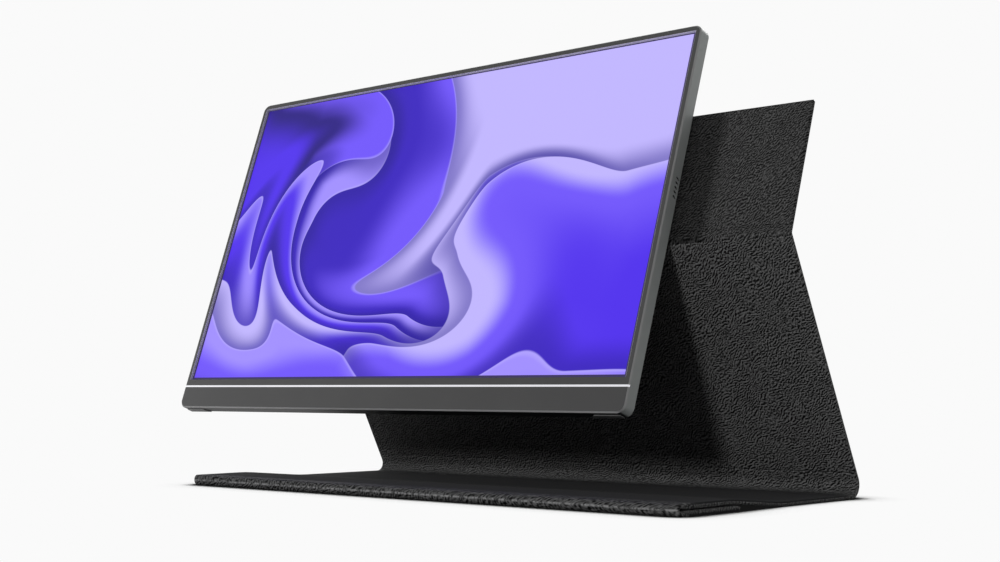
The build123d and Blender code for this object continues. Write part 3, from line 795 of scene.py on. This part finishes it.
def fold_of_light_group():
    """One fold of the picture: a mask of what lies below its wavy edge, the depth below that
    edge, and the soft shade that it throws on what is behind it."""
    inputs = [
        ("U", FLOAT, 0.0),
        ("V", FLOAT, 0.0),
        ("Turn", FLOAT, 0.0),
        ("Level", FLOAT, 0.5),
        ("Swell", FLOAT, 0.1),
        ("Waves", FLOAT, 1.0),
        ("Shift", FLOAT, 0.0),
    ]
    outputs = [("Mask", FLOAT), ("Depth", FLOAT), ("Shade", FLOAT)]
    tree, source, sink = new_group("FoldOfLight", inputs, outputs)
    cosine = math_node(tree, "COSINE", source["Turn"])
    sine = math_node(tree, "SINE", source["Turn"])
    along = math_node(tree, "MULTIPLY", source["U"], cosine)
    along = math_node(tree, "MULTIPLY_ADD", source["V"], sine, along)
    up = math_node(tree, "MULTIPLY", source["V"], cosine)
    side = math_node(tree, "MULTIPLY", source["U"], sine)
    up = math_node(tree, "SUBTRACT", up, side)
    phase = math_node(tree, "MULTIPLY_ADD", along, source["Waves"], source["Shift"])
    phase = math_node(tree, "MULTIPLY", phase, 2 * math.pi)
    second = math_node(tree, "MULTIPLY_ADD", phase, 1.9, 1.3)
    wave = math_node(tree, "SINE", phase)
    ripple = math_node(tree, "SINE", second)
    wave = math_node(tree, "MULTIPLY_ADD", ripple, 0.3, wave)
    edge = math_node(tree, "MULTIPLY_ADD", wave, source["Swell"], source["Level"])
    depth = math_node(tree, "SUBTRACT", edge, up)
    tree.links.new(map_range(tree, depth, 0.0, 0.0022), sink["Mask"])
    tree.links.new(depth, sink["Depth"])
    tree.links.new(map_range(tree, depth, -0.055, 0.0), sink["Shade"])
    return tree


FOLD_OF_LIGHT = fold_of_light_group()

LAVENDER = srgb(192, 181, 253)
PALE_VIOLET = srgb(160, 142, 255)
VIOLET = srgb(112, 84, 250)
BLUE_VIOLET = srgb(78, 42, 236)
DEEP_BLUE = srgb(54, 24, 190)
INDIGO = srgb(36, 16, 130)
NIGHT = srgb(20, 8, 74)
SHADE = srgb(34, 10, 150)

# turn in degrees, level, swell, waves, shift, reach of the shading, colours from the rim down
FOLDS_OF_LIGHT = (
    (-40, 0.66, 0.05, 0.9, 0.35, 0.30, (VIOLET, DEEP_BLUE, INDIGO)),
    (-26, 0.44, 0.05, 1.2, 0.10, 0.20, (PALE_VIOLET, DEEP_BLUE, NIGHT)),
    (-54, 0.40, 0.05, 1.0, 0.60, 0.24, (VIOLET, INDIGO, BLUE_VIOLET)),
    (-14, 0.27, 0.05, 1.3, 0.80, 0.20, (PALE_VIOLET, BLUE_VIOLET, INDIGO)),
    (12, 0.09, 0.045, 1.3, 0.25, 0.20, (LAVENDER, BLUE_VIOLET, DEEP_BLUE)),
    (28, -0.13, 0.045, 1.1, 0.55, 0.22, (LAVENDER, VIOLET, BLUE_VIOLET)),
    (-4, 0.06, 0.03, 1.5, 0.05, 0.16, (PALE_VIOLET, VIOLET, DEEP_BLUE)),
)

# middle across and up, reach, turn at the middle in degrees
SWIRLS = ((0.30, 0.36, 0.34, 150), (0.66, 0.20, 0.30, -115), (0.06, 0.16, 0.22, 70))


def colour_ramp(tree, factor, stops):
    node = add(tree, "ShaderNodeValToRGB", {"Fac": factor})
    node.color_ramp.interpolation = "EASE"
    elements = node.color_ramp.elements
    while len(elements) < len(stops):
        elements.new(0.5)
    for element, (position, colour) in zip(elements, stops):
        element.position = position
        element.color = colour
    return node.outputs["Color"]


def lit_panel():
    """LCD glass: a dark border round a glowing picture."""
    material, tree, shader = new_material("lit_panel")
    coords = add(tree, "ShaderNodeTexCoord").outputs["Object"]
    corner = SCREEN_FOOT + SCREEN_UP * ACTIVE_BOTTOM - Vector((ACTIVE_W / 2, 0, 0))
    flat = add(
        tree,
        "ShaderNodeMapping",
        {
            "Vector": coords,
            "Location": corner,
            "Rotation": (math.pi / 2 - SCREEN_LEAN, 0, 0),
            "Scale": (ACTIVE_W, ACTIVE_W, ACTIVE_W),
        },
        vector_type="TEXTURE",
    ).outputs[0]
    parts = add(tree, "ShaderNodeSeparateXYZ", {0: flat}).outputs
    turned = flat
    for across, upward, reach, turn in SWIRLS:
        inputs = {0: turned, 1: (across, upward, 0.0)}
        away = add(tree, "ShaderNodeVectorMath", inputs, operation="DISTANCE").outputs["Value"]
        angle = map_range(tree, away, 0.0, reach, math.radians(turn), 0.0)
        inputs = {"Vector": turned, "Center": (across, upward, 0.0), "Angle": angle}
        turned = add(tree, "ShaderNodeVectorRotate", inputs, rotation_type="Z_AXIS").outputs[0]
    swirled = add(tree, "ShaderNodeSeparateXYZ", {0: turned}).outputs
    warp = add(tree, "ShaderNodeTexNoise", {"Vector": turned, "Scale": 2.2, "Detail": 0.0}).outputs["Fac"]
    warp = math_node(tree, "SUBTRACT", warp, 0.5)
    u = math_node(tree, "MULTIPLY_ADD", warp, 0.22, swirled[0])
    v = math_node(tree, "MULTIPLY_ADD", warp, 0.16, swirled[1])
    sky = math_node(tree, "MULTIPLY_ADD", v, 0.5, u)
    colour = colour_ramp(tree, sky, [(0.3, BLUE_VIOLET), (0.5, PALE_VIOLET), (0.8, LAVENDER)])
    sheen = add(tree, "ShaderNodeTexNoise", {"Vector": flat, "Scale": 3.4, "Detail": 0.0}).outputs["Fac"]
    for turn, level, swell, waves, shift, reach, (rim, middle, deep) in FOLDS_OF_LIGHT:
        values = {"U": u, "V": v, "Turn": math.radians(turn), "Level": level}
        values.update({"Swell": swell, "Waves": waves, "Shift": shift})
        fold = use_group(tree, FOLD_OF_LIGHT, values)
        tone = map_range(tree, fold["Depth"], 0.0, reach, smooth=False)
        drift = map_range(tree, sheen, 0.35, 0.65, -0.18, 0.18, smooth=False)
        tone = math_node(tree, "ADD", tone, drift)
        shade = colour_ramp(tree, tone, [(0.0, rim), (0.38, middle), (1.0, deep)])
        rim_line = map_range(tree, fold["Depth"], 0.002, 0.007, 0.4, 0.0)
        shade = mix_colour(tree, rim_line, shade, LAVENDER)
        shaded = mix_colour(tree, math_node(tree, "MULTIPLY", fold["Shade"], 0.6), colour, SHADE)
        colour = mix_colour(tree, fold["Mask"], shaded, shade)
    inside_u = math_node(tree, "COMPARE", parts[0], 0.5, 0.5)
    half_height = ACTIVE_H / ACTIVE_W / 2
    inside_v = math_node(tree, "COMPARE", parts[1], half_height, half_height)
    inside = math_node(tree, "MULTIPLY", inside_u, inside_v)
    colour = mix_colour(tree, inside, srgb(56, 48, 92), colour)
    tree.links.new(colour, shader.inputs["Emission Color"])
    shader.inputs["Emission Strength"].default_value = 1.0
    shader.inputs["Base Color"].default_value = (0.004, 0.004, 0.005, 1)
    shader.inputs["Roughness"].default_value = 0.45
    shader.inputs["Specular IOR Level"].default_value = 0.15
    return material


# ---- dress the frame ----


def paint(nodes, material):
    for name in nodes:
        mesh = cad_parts[name].data
        mesh.materials.clear()
        mesh.materials.append(material)


def dress_monitor():
    strip = satin_metal("polished_strip", (srgb(225, 225, 230), srgb(232, 232, 236)), 1.0, 0.2, depth=0.002 * MM)
    trim = satin_metal("bright_trim", (srgb(178, 175, 190), srgb(184, 181, 196)), 0.0, 0.5, depth=0.002 * MM)
    steel = satin_metal("steel", (srgb(170, 170, 172), srgb(182, 182, 184)), 1.0, 0.35)
    key_metal = satin_metal("key_metal", (srgb(88, 90, 88), srgb(94, 96, 94)), 0.6, 0.36)
    paint(["rear_shell", "front_bezel", "chin_cover"], case_metal())
    paint(["screen_trim"], trim)
    paint(["chin_strip"], strip)
    paint(["power_key", "up_key", "down_key"], key_metal)
    paint(["hdmi_socket", "usb_c_sockets", "backlight_tray", "catch_plate", "board_screws", "cover_magnets"], steel)
    paint(["lcd_panel"], lit_panel())
    white = moulded_plastic("white_film", srgb(225, 227, 230), srgb(235, 236, 238), 0.4)
    clear = moulded_plastic("clear_guide", srgb(205, 215, 220), srgb(215, 222, 226), 0.12)
    green = moulded_plastic("circuit_board", srgb(18, 62, 34), srgb(26, 78, 44), 0.35, grain=700.0)
    amber = moulded_plastic("amber_film", srgb(168, 96, 30), srgb(184, 112, 40), 0.3)
    black = moulded_plastic("black_plastic", srgb(22, 22, 22), srgb(28, 28, 28), 0.45)
    rubber = moulded_plastic("foot_rubber", srgb(58, 58, 58), srgb(64, 64, 64), 0.6)
    board = moulded_plastic("grey_board", srgb(120, 112, 100), srgb(134, 126, 112), 0.85, grain=1400.0)
    paint(["optical_films", "reflector_sheet"], white)
    paint(["light_guide"], clear)
    paint(["driver_board", "main_board", "led_bar", "key_board"], green)
    paint(["driver_films", "display_cable"], amber)
    paint(["audio_jack", "speaker_left", "speaker_right", "insulating_sheet"], black)
    paint(["foot_strips"], rubber)
    paint(["lip_board", "base_board", "lower_board", "upper_board"], board)


def finish_piece(obj, material, slot, *replaced):
    obj.data.materials.append(material)
    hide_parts(*replaced)
    return obj


def dress_cover():
    leather = cover_leather()
    skins = (
        ("lip_leather", "lip", "start", "lip_skin"),
        ("base_leather", "base", None, "base_skin"),
        ("lower_panel_leather", "lower", None, "lower_outer_skin"),
        ("upper_panel_leather", "upper", "end", "upper_outer_skin"),
    )
    bodies = {"lip": "lip", "base": "base", "lower": "lower_back", "upper": "upper_back"}
    pieces = {}
    for name, part, free, node in skins:
        piece = finish_piece(outer_skin(name, part, free), leather, "leather", node)
        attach(piece, bodies[part])
        pieces[name] = piece
    facings = (
        ("lip_lining_sheet", "lip", "start", "lip_lining", leather, "lining"),
        ("base_lining_sheet", "base", None, "base_lining", leather, "lining"),
        ("lower_panel_facing", "lower", None, "lower_inner_skin", leather, "leather"),
        ("upper_panel_facing", "upper", "end", "upper_inner_skin", leather, "leather"),
    )
    for name, part, free, node, material, slot in facings:
        piece = finish_piece(inner_facing(name, part, 0.05 * MM, free), material, slot, node)
        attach(piece, bodies[part])
        pieces[name] = piece
    strips = (
        ("front_fold_leather", "front_fold", "lip", "base", "front_fold_strip", 0.0),
        ("spine_leather", "spine", "base", "lower_back", "spine_fold_strip", 0.0),
        ("crease_leather", "crease", "lower_back", "upper_back", "crease_strip", 2 * MM),
    )
    for name, part, body_a, body_b, node, margin in strips:
        piece = finish_piece(fold_strip(name, part), leather, "leather", node)
        bend_between(piece)
        pieces[name] = piece
    return pieces


# ---- floor, light and camera ----

BACKDROP = 0.956  # the photograph's pale ground


def seen_directly(tree):
    """1 for rays that show the surroundings: the camera's, and those off metal or through glass."""
    path = add(tree, "ShaderNodeLightPath").outputs
    direct = math_node(tree, "ADD", path["Is Camera Ray"], path["Is Glossy Ray"])
    return math_node(tree, "ADD", direct, path["Is Transmission Ray"], clamp=True)


def build_floor():
    """Pale ground. The camera sees its plain colour with a painted contact shadow, darkened where something stands
    close over it and reaching further to the right of and behind things as a painted cast shadow; the object's light
    comes off it as off white card."""
    bm = bmesh.new()
    size = 30.0
    corners = [(-size, -size), (size, -size), (size, size), (-size, size)]
    bm.faces.new([bm.verts.new((x, y, -0.0001)) for x, y in corners])
    floor = new_object("floor", bm, smooth=False)
    material, tree, shader = new_material("floor_white")
    shader.inputs["Base Color"].default_value = (0.8, 0.8, 0.8, 1)
    shader.inputs["Roughness"].default_value = 1.0
    shader.inputs["Specular IOR Level"].default_value = 0.0
    # Painted contact shadow: the floor's camera colour darkens where something stands close over it.
    under = add(tree, "ShaderNodeAmbientOcclusion", {"Distance": 0.01}, samples=8).outputs["AO"]
    # A second, leaning test paints a shadow further out to the right of and behind things.
    lean = {"Distance": 0.025, "Normal": (-0.75, -0.25, 0.6)}
    beside = add(tree, "ShaderNodeAmbientOcclusion", lean, samples=8).outputs["AO"]
    under = map_range(tree, under, 0.78, 0.97)
    beside = map_range(tree, beside, 0.72, 0.96)
    open_sky = math_node(tree, "MULTIPLY", under, beside)
    # The painted shadow's colour: nearly black where the floor is covered.
    ground = mix_colour(tree, open_sky, (0.008, 0.008, 0.008, 1), (BACKDROP, BACKDROP, BACKDROP, 1))
    glow = add(tree, "ShaderNodeEmission", {"Color": ground, "Strength": 1.0})
    blend = add(tree, "ShaderNodeMixShader", {0: seen_directly(tree), 1: shader.outputs[0], 2: glow.outputs[0]})
    output = next(n for n in tree.nodes if n.type == "OUTPUT_MATERIAL")
    tree.links.new(blend.outputs[0], output.inputs["Surface"])
    floor.data.materials.append(material)


AMBIENT = 0.25


def build_world():
    world = bpy.data.worlds.new("studio")
    bpy.context.scene.world = world
    world.use_nodes = True
    tree = world.node_tree
    tree.nodes.clear()
    ambient = add(tree, "ShaderNodeBackground", {"Color": (1, 1, 1, 1), "Strength": AMBIENT})
    seen = add(tree, "ShaderNodeBackground", {"Color": (BACKDROP, BACKDROP, BACKDROP, 1), "Strength": 1.0})
    blend = add(tree, "ShaderNodeMixShader", {0: seen_directly(tree), 1: ambient.outputs[0], 2: seen.outputs[0]})
    output = tree.nodes.new("ShaderNodeOutputWorld")
    tree.links.new(blend.outputs[0], output.inputs["Surface"])


def add_sun(name, azimuth, elevation, strength, spread):
    """Broad sun-like lamp. Azimuth 0 shines from the front, positive from the right."""
    light = bpy.data.lights.new(name, "SUN")
    light.energy = strength
    light.angle = math.radians(spread)
    lamp = bpy.data.objects.new(name, light)
    a, e = math.radians(azimuth), math.radians(elevation)
    toward = Vector((math.sin(a) * math.cos(e), -math.cos(a) * math.cos(e), math.sin(e)))
    lamp.rotation_mode = "QUATERNION"
    lamp.rotation_quaternion = toward.to_track_quat("Z", "Y")
    bpy.context.scene.collection.objects.link(lamp)
    return lamp


def light_only(lamp, pieces, left_out=False):
    """Keep the lamp to these pieces, or keep it off them. Everything still shades it."""
    group = bpy.data.collections.new(lamp.name + "_pieces")
    lamp.light_linking.receiver_collection = group
    for piece in pieces:
        group.objects.link(piece)
        if left_out:
            group.collection_objects[-1].light_linking.link_state = "EXCLUDE"


CAMERA_PLACE = Vector((610.12, -665.18, 57.57)) * MM
CAMERA_YAW = math.radians(44.0875)
CAMERA_PITCH = math.radians(2.4328)
CAMERA_ROLL = math.radians(0.0747)
FOCAL_PX = 1584.68  # focal length in pixels of the photograph
CENTRE_PX = (403.176, 318.856)  # where the camera's axis meets it
PHOTO_PX = (1000, 562)
SENSOR = 36.0


def build_camera():
    data = bpy.data.cameras.new("camera")
    data.sensor_fit = "HORIZONTAL"
    data.sensor_width = SENSOR
    data.lens = FOCAL_PX / PHOTO_PX[0] * SENSOR
    data.shift_x = (PHOTO_PX[0] / 2 - CENTRE_PX[0]) / PHOTO_PX[0]
    data.shift_y = (CENTRE_PX[1] - PHOTO_PX[1] / 2) / PHOTO_PX[0]
    data.clip_start, data.clip_end = 0.01, 100.0
    camera = bpy.data.objects.new("camera", data)
    camera.location = CAMERA_PLACE
    camera.rotation_euler = (math.pi / 2 + CAMERA_PITCH, CAMERA_ROLL, CAMERA_YAW)
    bpy.context.scene.collection.objects.link(camera)
    bpy.context.scene.camera = camera


bpy.context.scene.view_settings.view_transform = "Standard"
dress_monitor()
COVER = dress_cover()
build_floor()
build_world()
BACK_PIECES = [COVER[n] for n in ("lower_panel_leather", "lower_panel_facing", "spine_leather")]
LOW_PIECES = BACK_PIECES + [
    COVER[n]
    for n in ("base_leather", "base_lining_sheet", "front_fold_leather", "lip_leather", "lip_lining_sheet")
]
UNRAKED = BACK_PIECES + [COVER["front_fold_leather"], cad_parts["lcd_panel"]]
light_only(add_sun("raking", -68, 7.5, 3.5, 8), UNRAKED, left_out=True)
light_only(add_sun("front", 3, 17.5, 2.75, 9), LOW_PIECES)
add_sun("side", 105, 15, 0.8, 40)
add_sun("back", 190, 40, 2.0, 40)
build_camera()
